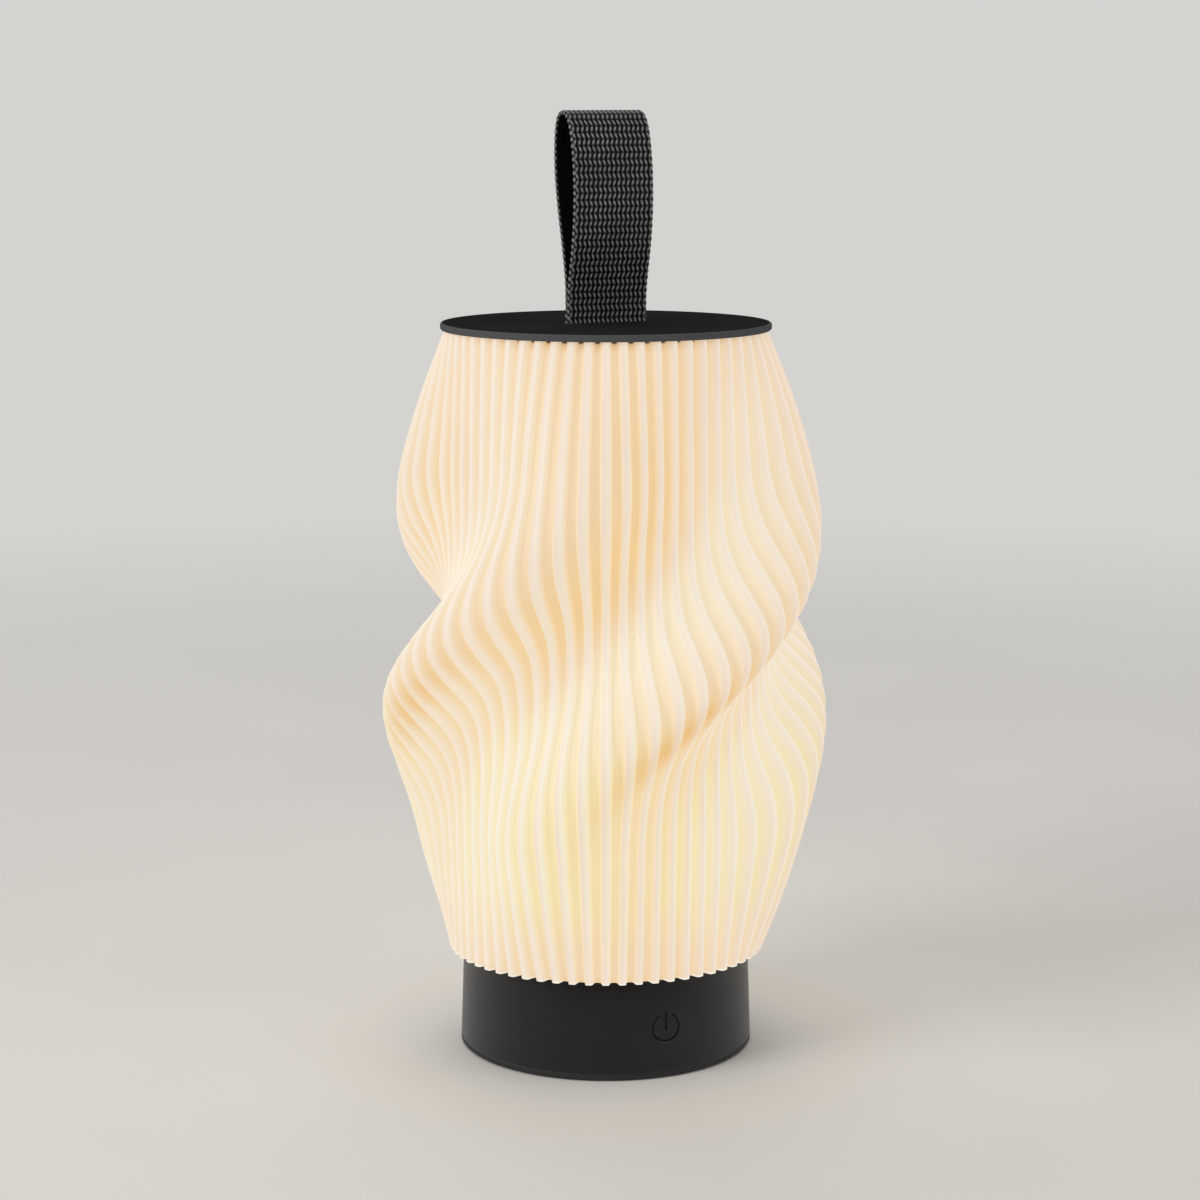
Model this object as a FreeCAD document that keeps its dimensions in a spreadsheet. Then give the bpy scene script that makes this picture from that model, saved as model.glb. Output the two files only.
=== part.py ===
import FreeCAD, Part

import math
import os

import Sketcher

# A rechargeable outdoor table lamp: a fluted shade with four twisting lobes stands on a round base
# that holds the battery and the light, under a thin lid with a loop of webbing to carry it by.
# Millimetres, +Z up. The origin is the middle of the footprint, and -Y is the front, with the power sign.

# Driving dimensions. Shares and counts have no length.
SIZES = {
    # clearances
    "slip_gap": 0.2,
    "glue_gap": 0.15,
    "thread_gap": 0.05,
    "hole_gap": 0.3,
    "overrun": 5.0,
    # fluted shade
    "shade_height": 186.3,
    "shade_barrel": 1.3,
    "shade_wall": 1.3,
    "rib_depth": 2.9,
    "rib_count": 60,
    "lobe_count": 4,
    "lobe_height": 19.5,
    "lobe_peak_share": 0.5164,
    "lobe_sharpness": 1.61,
    "lobe_lean_share": 0.374,
    "twist_span": 114.5,
    "twist_turn": 97,
    "twist_phase": 8.6,
    "skirt_overlap": 1.0,
    # base housing
    "base_taper": 1.0,
    "base_wall": 2.2,
    "edge_break": 0.35,
    "deck_thickness": 2.5,
    "spigot_height": 6.0,
    "spigot_wall": 2.0,
    "boss_radius": 3.2,
    "boss_sink": 0.6,
    # power sign engraved in the front
    "sign_level": 13.4,
    "sign_radius": 4.6,
    "sign_stroke": 0.9,
    "sign_depth": 0.5,
    "sign_bar_up": 4.7,
    "sign_bar_down": 1.2,
    "sign_opening": 54,
    # bottom cover, seal and foot
    "cover_rim": 1.4,
    "cover_spigot": 1.6,
    "gasket_width": 1.2,
    "gasket_height": 1.0,
    "foot_stand": 0.4,
    "foot_sink": 0.8,
    "foot_width": 5.0,
    "foot_margin": 1.2,
    # screws
    "screw_radius": 1.1,
    "screw_head_radius": 2.2,
    "screw_head_height": 1.5,
    "screw_sink": 0.2,
    "drive_radius": 1.1,
    "drive_depth": 0.8,
    "cover_screw_length": 8.0,
    "collar_screw_length": 6.0,
    "light_screw_length": 3.2,
    "lid_screw_length": 5.0,
    "clamp_screw_length": 4.3,
    "board_screw_length": 6.0,
    # battery cell in its cradle
    "cell_radius": 9.2,
    "cell_length": 65.2,
    "cell_end_room": 7.4,
    "cell_boss_gap": 3.7,
    "lead_room": 5.2,
    "cell_button_radius": 3.0,
    "cell_button_height": 0.9,
    "cradle_floor": 1.5,
    "cradle_length": 46.0,
    "cradle_side": 1.4,
    "saddle_thickness": 5.0,
    "saddle_height": 8.0,
    # main board and charging port
    "board_width": 40.0,
    "board_thickness": 1.6,
    "board_gap": 2.2,
    "board_cell_gap": 8.9,
    "tongue_width": 14.0,
    "post_radius": 2.4,
    "post_inset": 4.0,
    "port_level": 12.4,
    "port_width": 15.0,
    "port_height": 9.0,
    "port_depth": 1.4,
    "port_wall": 2.6,
    "port_block_margin": 1.5,
    "flap_gap": 0.3,
    "socket_width": 8.94,
    "socket_height": 3.26,
    "socket_depth": 7.35,
    "socket_shell": 0.3,
    "socket_back": 1.0,
    "socket_tongue_width": 6.7,
    "socket_tongue_height": 0.7,
    "socket_tongue_depth": 4.6,
    "chip_width": 7.0,
    "chip_height": 1.2,
    "coil_width": 6.0,
    "coil_height": 3.0,
    # touch pad and leads
    "pad_thickness": 0.4,
    "pad_height": 12.0,
    "pad_angle": 18,
    "lead_radius": 0.65,
    "lead_spacing": 2.6,
    "lead_turn": 3.5,
    "lead_set_back": 4.0,
    "lead_hole_radius": 2.6,
    # light source
    "light_board_margin": 1.2,
    "light_board_thickness": 1.6,
    "light_screw_inset": 4.0,
    "chip_light_length": 3.5,
    "chip_light_width": 2.8,
    "chip_light_height": 0.8,
    "chip_light_circle": 19.0,
    "diffuser_wall": 1.6,
    "diffuser_skirt": 4.5,
    "diffuser_dome": 7.0,
    # rings bonded into the ends of the shade
    "collar_width": 7.6,
    "collar_height": 5.0,
    "ring_height": 6.3,
    "ring_wall": 3.2,
    "ring_flange": 2.0,
    "ring_flange_width": 10.0,
    # lid
    "lid_overhang": 1.3,
    "lid_thickness": 2.0,
    "lid_skin": 0.9,
    "lid_boss_radius": 3.2,
    # webbing loop
    "strap_width": 25.0,
    "strap_thickness": 1.4,
    "strap_root_split": 0.1,
    "strap_root_gap": 0.3,
    "strap_height": 62.0,
    "strap_front_bow": 4.5,
    "strap_back_bow": 8.05,
    "strap_tail": 11.0,
    "slot_gap": 0.4,
    "clamp_thickness": 2.0,
    "clamp_ear": 7.5,
}

# Sizes that follow from the driving ones.
FOLLOWING = {
    # heights, from the battery cell outwards
    "base_height": "cover_spigot + cradle_floor + 2 * cell_radius + lead_room + deck_thickness",
    "base_bottom": "foot_stand + cover_rim",
    "cover_top": "base_bottom + cover_spigot",
    "base_top": "base_bottom + base_height",
    "deck_bottom": "base_top - deck_thickness",
    "spigot_top": "base_top + spigot_height",
    "shade_bottom": "base_top - skirt_overlap",
    "shade_top": "shade_bottom + shade_height",
    "lid_top": "shade_top + lid_thickness",
    # radii, from the battery cell outwards
    "base_bore": "cell_length / 2 + cell_button_height + cell_end_room",
    "base_top_radius": "base_bore + base_wall",
    "base_radius": "base_top_radius + base_taper",
    "shade_bore": "base_top_radius + slip_gap",
    "shade_radius": "shade_bore + shade_wall + rib_depth",
    "collar_radius": "shade_bore - glue_gap",
    "collar_bore": "collar_radius - collar_width",
    "spigot_radius": "collar_bore - slip_gap",
    "spigot_bore": "spigot_radius - spigot_wall",
    "diffuser_radius": "spigot_bore - slip_gap",
    "diffuser_bore": "diffuser_radius - diffuser_wall",
    "light_board_radius": "diffuser_bore - light_board_margin",
    # screw places
    "hole_radius": "screw_radius + hole_gap",
    "thread_radius": "screw_radius + thread_gap",
    "head_hole_radius": "screw_head_radius + hole_gap",
    "boss_circle": "base_bore - boss_radius + boss_sink",
    "boss_spot": "boss_circle * cos(45 deg)",
    "boss_length": "deck_bottom - cover_top",
    "cell_set_forward": "boss_spot - boss_radius - cell_radius - cell_boss_gap",
    "collar_screw_circle": "base_bore - screw_head_radius - hole_gap",
    "light_screw_circle": "light_board_radius - light_screw_inset",
    # housing profile
    "base_break_radius": "base_radius - edge_break",
    "base_break_top": "base_bottom + edge_break",
    "rebate_radius": "base_bore + gasket_width",
    "rebate_top": "base_bottom + gasket_height",
    # cover, seal and foot
    "cover_radius": "base_bore - slip_gap",
    "cover_low_break": "foot_stand + edge_break",
    "cover_high_break": "base_bottom - edge_break",
    "gasket_bore": "cover_radius + slip_gap / 2",
    "gasket_radius": "rebate_radius - slip_gap / 2",
    "head_hole_depth": "screw_head_height + screw_sink",
    "cover_screw_seat": "foot_stand + screw_sink",
    "foot_radius": "boss_circle - head_hole_radius - foot_margin",
    "foot_bore": "foot_radius - foot_width",
    "foot_groove_top": "foot_stand + foot_sink",
    "foot_groove_radius": "foot_radius + slip_gap / 2",
    "foot_groove_bore": "foot_bore - slip_gap / 2",
    # port and board
    "port_centre": "base_bottom + port_level",
    "port_floor": "base_top_radius - port_depth",
    "port_block_inside": "port_floor - port_wall",
    "port_block_depth": "port_wall + port_depth / 2",
    "port_block_width": "port_width + 2 * port_block_margin",
    "port_block_height": "port_height + 2 * port_block_margin",
    "flap_width": "port_width - 2 * flap_gap",
    "flap_height": "port_height - 2 * flap_gap",
    "flap_floor": "port_floor + flap_gap",
    "socket_mouth": "port_floor - slip_gap",
    "socket_hole_width": "socket_width + 2 * slip_gap",
    "socket_hole_height": "socket_height + 2 * slip_gap",
    "socket_hole_start": "port_block_inside - slip_gap",
    "socket_hole_depth": "port_wall + 2 * slip_gap",
    "socket_start": "socket_mouth - socket_depth",
    "socket_inside_start": "socket_start + socket_back",
    "socket_inside_width": "socket_width - 2 * socket_shell",
    "socket_inside_height": "socket_height - 2 * socket_shell",
    "socket_tongue_middle": "socket_inside_start + socket_tongue_depth / 2",
    "socket_tongue_bottom": "port_centre - socket_tongue_height / 2",
    "taper_height": "base_top - base_break_top",
    "board_top": "port_centre - socket_height / 2",
    "board_bottom": "board_top - board_thickness",
    "board_rear": "sqrt(base_bore ^ 2 - (board_width / 2) ^ 2) - board_gap",
    "board_depth": "board_rear + cell_set_forward - cell_radius - cradle_side - board_cell_gap",
    "board_middle": "board_rear - board_depth / 2",
    "tongue_length": "port_block_inside - slip_gap - board_rear",
    "tongue_middle": "board_rear + tongue_length / 2",
    "post_side": "board_width / 2 - post_inset",
    "post_back": "board_rear - board_depth + post_inset",
    "post_length": "deck_bottom - board_top",
    "lead_back": "post_back + lead_set_back",
    "board_screw_seat": "board_bottom - screw_head_height",
    "chip_back": "board_middle + chip_width / 2",
    "parts_side": "board_width / 4",
    # battery
    "cell_rest": "cover_top + cradle_floor",
    "cell_centre": "cell_rest + cell_radius",
    "cradle_width": "2 * (cell_radius + cradle_side)",
    "cradle_bore": "cell_radius + slip_gap / 2",
    "saddle_side": "(cradle_length - saddle_thickness) / 2",
    # touch pad
    "sign_centre": "base_bottom + sign_level",
    "sign_floor": "base_radius - base_taper * sign_level / base_height - sign_depth",
    "sign_bore": "sign_radius - sign_stroke",
    "sign_sweep": "360 - sign_opening",
    "sign_start": "90 + sign_opening / 2",
    "sign_bar_length": "sign_bar_up + sign_bar_down",
    "pad_outside": "base_bore - glue_gap",
    "pad_inside": "pad_outside - pad_thickness",
    "pad_bottom": "sign_centre - pad_height / 2",
    "pad_top": "sign_centre + pad_height / 2",
    # light source
    "light_board_top": "base_top + light_board_thickness",
    "skirt_top": "base_top + diffuser_skirt",
    "dome_top": "skirt_top + diffuser_dome",
    "dome_radius": "(diffuser_radius ^ 2 + diffuser_dome ^ 2) / (2 * diffuser_dome)",
    "dome_bore": "dome_radius - diffuser_wall",
    "dome_centre": "dome_top - dome_radius",
    "diffuser_height": "diffuser_skirt + diffuser_dome",
    "light_screw_seat": "light_board_top + screw_head_height",
    "light_lead_length": "light_board_top - board_top",
    # collar and top ring
    "collar_top": "base_top + collar_height",
    "collar_screw_seat": "deck_bottom - screw_head_height",
    "lid_screw_seat": "ring_bottom - screw_head_height",
    "ring_bottom": "shade_top - ring_height",
    "flange_top": "ring_bottom + ring_flange",
    "ring_bore": "collar_radius - ring_wall",
    "flange_bore": "ring_bore - ring_flange_width",
    "lid_screw_circle": "ring_bore - lid_boss_radius - slip_gap",
    # lid and strap
    "lid_radius": "shade_radius + lid_overhang",
    "lid_break_radius": "lid_radius - edge_break",
    "lid_low_break": "shade_top + edge_break",
    "lid_high_break": "lid_top - edge_break",
    "lid_boss_length": "shade_top - flange_top",
    "lid_thread_depth": "lid_boss_length + lid_thickness - lid_skin",
    "strap_root_radius": "strap_thickness + strap_root_split / 2",
    "strap_hinge": "lid_top + strap_root_gap + strap_root_radius",
    "strap_pair": "2 * strap_thickness",
    "strap_reach": "strap_height - strap_root_gap - strap_root_radius - strap_thickness / 2",
    "slot_length": "strap_width + 2 * slot_gap",
    "slot_width": "strap_pair + 2 * slot_gap",
    "slot_depth": "lid_thickness + overrun",
    "tail_bottom": "shade_top - strap_thickness",
    "tails_span": "strap_pair + 2 * strap_tail",
    "tail_stem": "strap_thickness + lid_thickness",
    "clamp_bottom": "tail_bottom - clamp_thickness",
    "clamp_screw_seat": "clamp_bottom - screw_head_height",
    "clamp_length": "strap_width + 2 * clamp_ear",
    "clamp_screw_spot": "(strap_width + clamp_ear) / 2 + slot_gap",
    "clamp_thread_depth": "strap_thickness + lid_thickness - lid_skin",
}

# Rib section: where its corners lie across one pitch from the middle of a rib, and how deep each is cut.
RIB_CORNER_SHARES = [(-0.20, 0.0), (0.20, 0.0), (0.29, 1.0), (0.71, 1.0)]
SHADE_LEVELS = 26

# Middle line of the webbing, up its front and down its back: share of the bow, share of the reach.
STRAP_FRONT_SHARES = [(0.0, 0.13), (1.05, 0.44), (1.05, 0.74), (0.15, 0.985)]
STRAP_BACK_SHARES = [(0.75, 1.0), (1.05, 0.86), (0.95, 0.62), (0.0, 0.20)]

# Part of the shorter run beside a corner that the corner's arc takes up.
CORNER_SHARE = 0.45

LIGHT_CHIPS = 12
BOSSES = 4
LIGHT_SCREWS = 3

UP = FreeCAD.Vector(0, 0, 1)
ACROSS = FreeCAD.Vector(1, 0, 0)
TURNED_OVER = FreeCAD.Rotation(ACROSS, 180)
LAID_ALONG_X = FreeCAD.Rotation(FreeCAD.Vector(0, 1, 0), 90)
LAID_ALONG_Y = FreeCAD.Rotation(ACROSS, -90)
STOOD_UP = FreeCAD.Rotation(ACROSS, 90)
FACING_FRONT = FreeCAD.Rotation(UP, -90)

doc = FreeCAD.newDocument("table_lamp")
sheet = doc.addObject("Spreadsheet::Sheet", "Sizes")
nodes = []


def fill_sheet():
    row = 1
    for name, value in SIZES.items():
        sheet.set(f"A{row}", name)
        sheet.set(f"B{row}", str(value))
        sheet.setAlias(f"B{row}", name)
        row += 1
    for name, formula in FOLLOWING.items():
        sheet.set(f"A{row}", name)
        sheet.set(f"B{row}", "=" + formula)
        sheet.setAlias(f"B{row}", name)
        row += 1
    doc.recompute()


def size(name):
    return float(sheet.get(name)) if name else 0.0


def bind(item, **sizes):
    """Ties an object's properties to cells of the sheet; a dot in a property is written __."""
    for name, cell in sizes.items():
        item.setExpression(name.replace("__", "."), "Sizes." + cell)


def put(item, x="0", y="0", z="0"):
    """Ties an object's place to formulas of the sheet's cells."""
    for axis, formula in (("x", x), ("y", y), ("z", z)):
        if formula != "0":
            item.setExpression("Placement.Base." + axis, formula)


def cell(name):
    return "Sizes." + name


def node(item, name):
    item.Label = name
    nodes.append(item)
    return item


# PartDesign helpers


def new_body(name):
    return doc.addObject("PartDesign::Body", name)


def origin_feature(body, role):
    return next(item for item in body.Origin.OriginFeatures if item.Role == role)


def new_sketch(body, name, role="XY_Plane", x=None, y=None, z=None):
    sketch = body.newObject("Sketcher::SketchObject", name)
    sketch.AttachmentSupport = [(origin_feature(body, role), "")]
    sketch.MapMode = "FlatFace"
    for axis, formula in (("x", x), ("y", y), ("z", z)):
        if formula:
            sketch.setExpression("AttachmentOffset.Base." + axis, formula)
    return sketch


def tie(sketch, kind, where, name):
    """Holds one coordinate of a point to a cell, or the point to an axis where there is no name."""
    if name:
        index = sketch.addConstraint(Sketcher.Constraint(kind, -1, 1, *where, size(name)))
        sketch.setExpression(f"Constraints[{index}]", cell(name))
    else:
        axis = -2 if kind == "DistanceX" else -1
        sketch.addConstraint(Sketcher.Constraint("PointOnObject", *where, axis))


def polygon(sketch, corners):
    spots = [FreeCAD.Vector(size(x), size(y), 0) for x, y in corners]
    count = len(spots)
    for index, spot in enumerate(spots):
        sketch.addGeometry(Part.LineSegment(spot, spots[(index + 1) % count]))
    for index in range(count):
        sketch.addConstraint(Sketcher.Constraint("Coincident", index, 2, (index + 1) % count, 1))
    for index, (x, y) in enumerate(corners):
        tie(sketch, "DistanceX", (index, 1), x)
        tie(sketch, "DistanceY", (index, 1), y)


def circle(sketch, radius):
    middle = FreeCAD.Vector(0, 0, 0)
    index = sketch.addGeometry(Part.Circle(middle, UP, size(radius)))
    sketch.addConstraint(Sketcher.Constraint("Coincident", index, 3, -1, 1))
    held = sketch.addConstraint(Sketcher.Constraint("Radius", index, size(radius)))
    sketch.setExpression(f"Constraints[{held}]", cell(radius))


def rectangle(sketch, width, height):
    across = size(width) / 2
    along = size(height) / 2
    spots = [(-across, -along), (across, -along), (across, along), (-across, along)]
    spots = [FreeCAD.Vector(x, y, 0) for x, y in spots]
    for index in range(4):
        sketch.addGeometry(Part.LineSegment(spots[index], spots[(index + 1) % 4]))
    for index in range(4):
        sketch.addConstraint(Sketcher.Constraint("Coincident", index, 2, (index + 1) % 4, 1))
    for index, level in enumerate(("Horizontal", "Vertical", "Horizontal", "Vertical")):
        sketch.addConstraint(Sketcher.Constraint(level, index))
    sketch.addConstraint(Sketcher.Constraint("Symmetric", 0, 1, 2, 1, -1, 1))
    for edge, kind, name in ((0, "DistanceX", width), (1, "DistanceY", height)):
        held = sketch.addConstraint(Sketcher.Constraint(kind, edge, 1, edge, 2, size(name)))
        sketch.setExpression(f"Constraints[{held}]", cell(name))


def revolve(body, name, corners, angle=None):
    sketch = new_sketch(body, name + "_profile", "XZ_Plane")
    polygon(sketch, corners)
    turned = body.newObject("PartDesign::Revolution", name)
    turned.Profile = sketch
    turned.ReferenceAxis = (sketch, ["V_Axis"])
    turned.Angle = 360
    if angle:
        turned.Midplane = True
        bind(turned, Angle=angle)
    doc.recompute()
    return turned


def extrude(body, name, kind, sketch, length, backwards=False):
    """Pads or pockets a sketch and makes sure that the solid really changed."""
    doc.recompute()
    before = 0.0 if body.Shape.isNull() else body.Shape.Volume
    step = body.newObject("PartDesign::" + kind, name)
    step.Profile = sketch
    bind(step, Length=length)
    step.Reversed = backwards
    doc.recompute()
    if not (body.Shape.Volume > before if kind == "Pad" else body.Shape.Volume < before):
        raise ValueError(f"{name} changed nothing")
    return step


def round_feature(body, name, kind, radius, length, spot, backwards=False):
    """Pads or pockets a circle that stands at spot, three formulas."""
    sketch = new_sketch(body, name + "_circle", "XY_Plane", *spot)
    circle(sketch, radius)
    return extrude(body, name, kind, sketch, length, backwards)


def repeat(body, name, step, count):
    ring = body.newObject("PartDesign::PolarPattern", name)
    ring.Originals = [step]
    ring.Axis = (origin_feature(body, "Z_Axis"), [""])
    ring.Angle = 360
    ring.Occurrences = count
    body.Tip = ring
    doc.recompute()
    return ring


# Part helpers


def cylinder(name, radius, height):
    item = doc.addObject("Part::Cylinder", name)
    bind(item, Radius=radius, Height=height)
    return item


def block(name, length, width, height, x, y, z):
    """A box centred on x and y whose underside is at z."""
    item = doc.addObject("Part::Box", name)
    bind(item, Length=length, Width=width, Height=height)
    put(item, f"{x} - {cell(length)} / 2", f"{y} - {cell(width)} / 2", z)
    return item


def fuse(name, shapes):
    item = doc.addObject("Part::MultiFuse", name)
    item.Shapes = shapes
    return item


def cut(name, base, tool):
    item = doc.addObject("Part::Cut", name)
    item.Base = base
    item.Tool = tool
    return item


def group(name, items):
    item = doc.addObject("Part::Compound", name)
    item.Links = items
    return node(item, name)


def round_ended(name, width, height, depth, y, z):
    """A bar with half-round ends, lying along X, that runs from y towards the rear."""
    bar = doc.addObject("Part::Box", name + "_middle")
    bar.setExpression("Length", f"{cell(width)} - {cell(height)}")
    bind(bar, Width=depth, Height=height)
    put(bar, f"({cell(height)} - {cell(width)}) / 2", y, f"{z} - {cell(height)} / 2")
    parts = [bar]
    for side in (-1, 1):
        end = doc.addObject("Part::Cylinder", f"{name}_end_{side + 2}")
        end.Placement.Rotation = LAID_ALONG_Y
        end.setExpression("Radius", f"{cell(height)} / 2")
        bind(end, Height=depth)
        put(end, f"{side} * ({cell(width)} - {cell(height)}) / 2", y, z)
        parts.append(end)
    return fuse(name, parts)


def around(circle_size, count, first):
    """Formulas for the places of count things on a circle, the first at an angle in degrees."""
    spots = []
    for index in range(count):
        angle = first + 360 * index / count
        spots.append((f"{cell(circle_size)} * cos({angle} deg)", f"{cell(circle_size)} * sin({angle} deg)"))
    return spots


def screws(name, spots, seat, length, points_up):
    """Screws with a hexagon drive whose heads start at the height seat, as one group."""
    made = []
    for index, (x, y) in enumerate(spots):
        head = cylinder(f"{name}_head_{index}", "screw_head_radius", "screw_head_height")
        shank = cylinder(f"{name}_shank_{index}", "screw_radius", length)
        put(shank, z=cell("screw_head_height"))
        drive = doc.addObject("Part::Prism", f"{name}_drive_{index}")
        drive.Polygon = 6
        bind(drive, Circumradius="drive_radius", Height="drive_depth")
        screw = cut(f"{name}_{index}", fuse(f"{name}_blank_{index}", [head, shank]), drive)
        if not points_up:
            screw.Placement.Rotation = TURNED_OVER
        put(screw, x, y, seat)
        made.append(screw)
    return group(name, made)


# Routes of straight runs with tangent arcs


def rounded_route(points):
    """A wire through points whose corners are arcs as large as the runs beside them allow."""
    edges = []
    start = points[0]
    for before, corner, after in zip(points, points[1:], points[2:]):
        inwards = (corner - before).normalize()
        outwards = (after - corner).normalize()
        trim = CORNER_SHARE * min((corner - before).Length, (after - corner).Length)
        first = corner - inwards * trim
        last = corner + outwards * trim
        half_turn = inwards.getAngle(outwards) / 2
        radius = trim / math.tan(half_turn)
        bend = (outwards - inwards).normalize()
        middle = corner + bend * (radius / math.cos(half_turn) - radius)
        edges.append(Part.LineSegment(start, first).toShape())
        edges.append(Part.Arc(first, middle, last).toShape())
        start = last
    edges.append(Part.LineSegment(start, points[-1]).toShape())
    return Part.Wire(edges)


def lead(points):
    """A round wire along a route, with its volume compared with its section times its length."""
    route = rounded_route(points)
    radius = size("lead_radius")
    ring = Part.Wire(Part.makeCircle(radius, points[0], points[1] - points[0]))
    solid = route.makePipeShell([ring], True, False)
    expected = math.pi * radius**2 * route.Length
    if abs(solid.Volume / expected - 1) > 0.01:
        raise ValueError("a lead's volume is not its section times its length")
    return solid


def feature(name, shape):
    item = doc.addObject("Part::Feature", name)
    item.Shape = shape
    return node(item, name)


# Fluted shade


def lobe(angle, share):
    """How far the lobes stand out, from 0 to 1 of their height, at an angle and a share of the height."""
    peak = size("lobe_peak_share")
    away = (share - peak) / (1 - peak) if share > peak else (peak - share) / peak
    reach = max(-1.0, min(1.0, (share - 0.5) * 2 * size("shade_height") / size("twist_span")))
    turned = size("twist_phase") + size("twist_turn") * (1.5 * reach - 0.5 * reach**3) / 2
    lobes = size("lobe_count")
    phase = lobes * (angle - math.radians(turned))
    phase -= size("lobe_lean_share") * math.sin(phase)
    sharp = size("lobe_sharpness")
    lowest = math.exp(-2 * sharp)
    crest = (math.exp(sharp * (math.cos(phase) - 1)) - lowest) / (1 - lowest)
    return (1 - away**2) * crest


def shade_line(pitches, cut_depth):
    """A line up the shade at a constant angle, counted in rib pitches, set in from the rib tips."""
    angle = 2 * math.pi * pitches / size("rib_count")
    points = []
    for level in range(SHADE_LEVELS + 1):
        share = level / SHADE_LEVELS
        radius = size("shade_radius") + size("shade_barrel") * 4 * share * (1 - share)
        radius += size("lobe_height") * lobe(angle, share) - cut_depth
        height = size("shade_bottom") + size("shade_height") * share
        points.append(FreeCAD.Vector(radius * math.sin(angle), -radius * math.cos(angle), height))
    line = Part.BSplineCurve()
    line.interpolate(Points=points)
    return line.toShape()


def strips(lines):
    return [Part.makeRuledSurface(line, lines[index - 1]) for index, line in enumerate(lines)]


def end_loop(lines, last, backwards):
    spots = [line.valueAt(line.LastParameter if last else line.FirstParameter) for line in lines]
    if backwards:
        spots.reverse()
    return Part.makePolygon(spots + spots[:1])


def make_shade():
    ribs = int(size("rib_count"))
    depth = size("rib_depth")
    outside = []
    for rib in range(ribs):
        for across, sunk in RIB_CORNER_SHARES:
            outside.append(shade_line(rib + across, depth * sunk))
    inside = [shade_line(rib, depth + size("shade_wall")) for rib in range(ribs)]
    faces = strips(outside) + strips(inside)
    for last in (False, True):
        faces.append(Part.Face([end_loop(outside, last, False), end_loop(inside, last, True)]))
    skin = Part.Compound(faces)
    skin.sewShape()
    solid = Part.Solid(skin.Shells[0])
    if solid.Volume < 0:
        solid.reverse()
    feature("shade", solid)


# Base


def make_base_housing():
    body = new_body("housing_body")
    wall = [
        ("base_break_radius", "base_bottom"),
        ("base_radius", "base_break_top"),
        ("base_top_radius", "base_top"),
        ("spigot_radius", "base_top"),
        ("spigot_radius", "spigot_top"),
        ("spigot_bore", "spigot_top"),
        ("spigot_bore", "base_top"),
        (None, "base_top"),
        (None, "deck_bottom"),
        ("base_bore", "deck_bottom"),
        ("base_bore", "rebate_top"),
        ("rebate_radius", "rebate_top"),
        ("rebate_radius", "base_bottom"),
    ]
    revolve(body, "cup", wall)
    spot = (cell("boss_spot"), cell("boss_spot"), cell("cover_top"))
    boss = round_feature(body, "boss", "Pad", "boss_radius", "boss_length", spot)
    repeat(body, "bosses", boss, BOSSES)
    bore = round_feature(body, "boss_bore", "Pocket", "thread_radius", "cover_screw_length", spot, True)
    repeat(body, "boss_bores", bore, BOSSES)
    spot = (cell("collar_screw_circle"), None, cell("base_top"))
    hole = round_feature(body, "collar_hole", "Pocket", "hole_radius", "deck_thickness", spot)
    repeat(body, "collar_holes", hole, BOSSES)
    spot = (None, f"-{cell('light_screw_circle')}", cell("base_top"))
    hole = round_feature(body, "light_hole", "Pocket", "thread_radius", "deck_thickness", spot)
    repeat(body, "light_holes", hole, LIGHT_SCREWS)
    spot = (None, cell("lead_back"), cell("base_top"))
    round_feature(body, "lead_hole", "Pocket", "lead_hole_radius", "deck_thickness", spot)
    for side, name in ((-1, "left"), (1, "right")):
        spot = (f"{side} * {cell('post_side')}", cell("post_back"), cell("board_top"))
        round_feature(body, f"{name}_post", "Pad", "post_radius", "post_length", spot)
        round_feature(
            body, f"{name}_post_bore", "Pocket", "thread_radius", "board_screw_length", spot, True
        )
    sketch = new_sketch(body, "port_block_outline", "XZ_Plane", None, cell("port_centre"))
    sketch.setExpression("AttachmentOffset.Base.z", "-" + cell("port_block_inside"))
    rectangle(sketch, "port_block_width", "port_block_height")
    extrude(body, "port_block", "Pad", sketch, "port_block_depth", True)

    ring = cylinder("sign_outside", "sign_radius", "overrun")
    bind(ring, Angle="sign_sweep", Placement__Rotation__Angle="sign_start")
    ring = cut("sign_ring", ring, cylinder("sign_inside", "sign_bore", "overrun"))
    bar = doc.addObject("Part::Box", "sign_bar")
    bind(bar, Length="sign_stroke", Width="sign_bar_length", Height="overrun")
    put(bar, f"-{cell('sign_stroke')} / 2", f"-{cell('sign_bar_down')}")
    sign = fuse("power_sign", [ring, bar])
    sign.Placement.Rotation = STOOD_UP
    put(sign, y=f"-{cell('sign_floor')}", z=cell("sign_centre"))
    level = cell("port_centre")
    recess = round_ended("port_recess", "port_width", "port_height", "overrun", cell("port_floor"), level)
    opening = round_ended(
        "socket_opening",
        "socket_hole_width",
        "socket_hole_height",
        "socket_hole_depth",
        cell("socket_hole_start"),
        level,
    )
    node(cut("base_housing", body, fuse("housing_cuts", [sign, recess, opening])), "base_housing")


def make_port_cover():
    taper = doc.addObject("Part::Cone", "housing_taper")
    bind(taper, Radius1="base_radius", Radius2="base_top_radius", Height="taper_height")
    put(taper, z=cell("base_break_top"))
    level = cell("port_centre")
    blank = round_ended("flap_blank", "flap_width", "flap_height", "overrun", cell("flap_floor"), level)
    flap = doc.addObject("Part::Common", "port_cover")
    flap.Base = blank
    flap.Tool = taper
    node(flap, "port_cover")


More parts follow.
